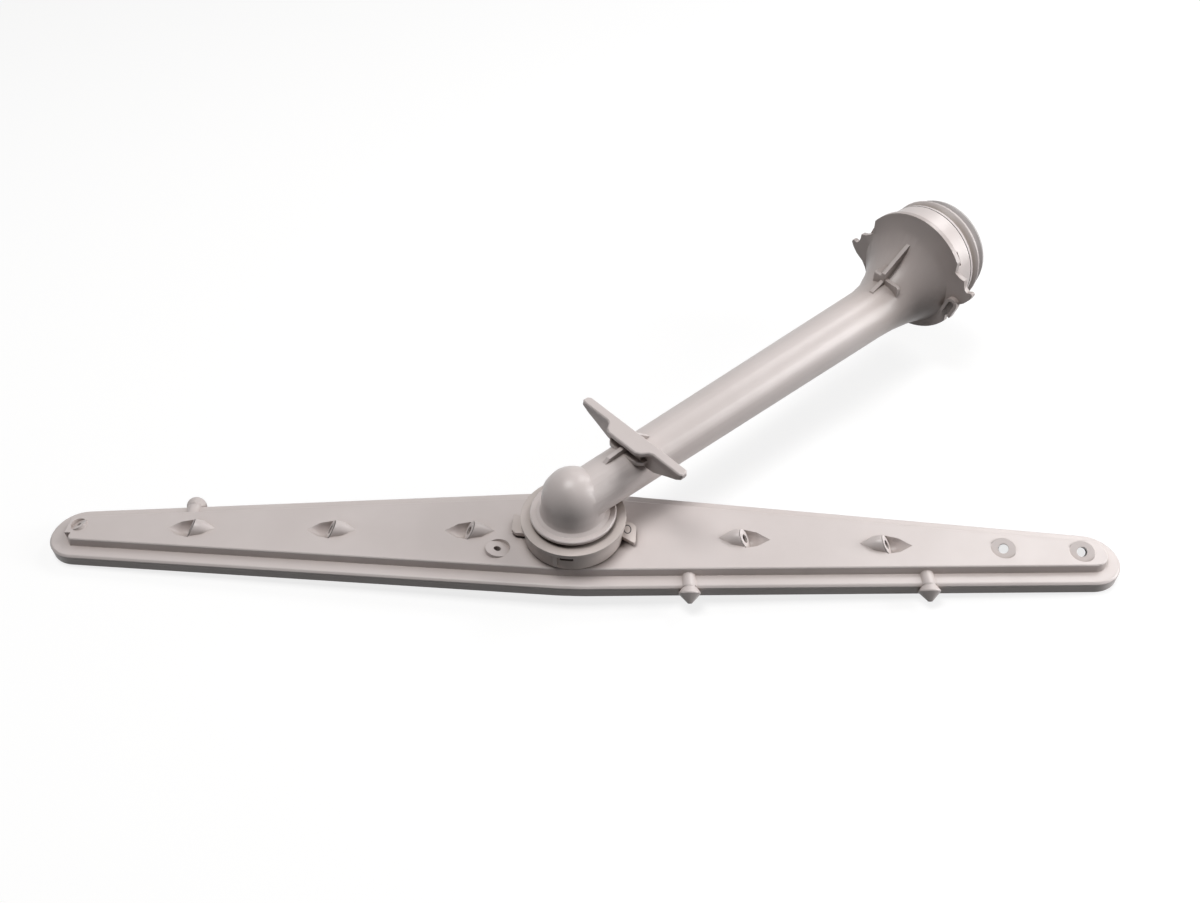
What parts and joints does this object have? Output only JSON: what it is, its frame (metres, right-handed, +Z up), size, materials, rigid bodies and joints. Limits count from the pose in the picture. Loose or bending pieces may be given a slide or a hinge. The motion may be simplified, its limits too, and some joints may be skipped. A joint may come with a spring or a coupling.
{
  "type": "dishwasher spray arm",
  "caption": "Long drooping spray arm with lens-shaped nozzles, hung by a lock ring on a feed pipe with rack hanger, eared flange and ribbed dock seal.",
  "frame": {"origin": "on the arm's spin axis, at the height of the underside of the arm's tips", "axes": "+Z up along the spin axis, X along the arm, Y across it; the feed pipe leaves towards +X +Y"},
  "size_m": [0.4648, 0.2125, 0.0809],
  "materials": {
    "body_plastic": "satin light grey polypropylene, slightly warm",
    "ring_plastic": "satin, slightly more beige than the arm",
    "seal_rubber": "soft light grey-beige rubber"
  },
  "bodies": {
    "feed_pipe_assembly": {"feed_pipe": "body_plastic", "dock_sleeve": "body_plastic", "dock_seal": "seal_rubber"},
    "spray_arm": {"arm_top_shell": "body_plastic", "arm_bottom_shell": "body_plastic", "side_plugs": "body_plastic"},
    "locking_ring": {"lock_ring": "ring_plastic"}
  },
  "joints": [
    {"name": "arm_spin", "type": "hinge", "parent": "feed_pipe_assembly", "child": "spray_arm", "pos_m": [0, 0, 0.018], "axis": [0, 0, 1], "continuous": true},
    {"name": "ring_release", "type": "hinge", "parent": "spray_arm", "child": "locking_ring", "pos_m": [0, 0, 0.02], "axis": [0, 0, 1], "range_deg": [0, 45]}
  ]
}
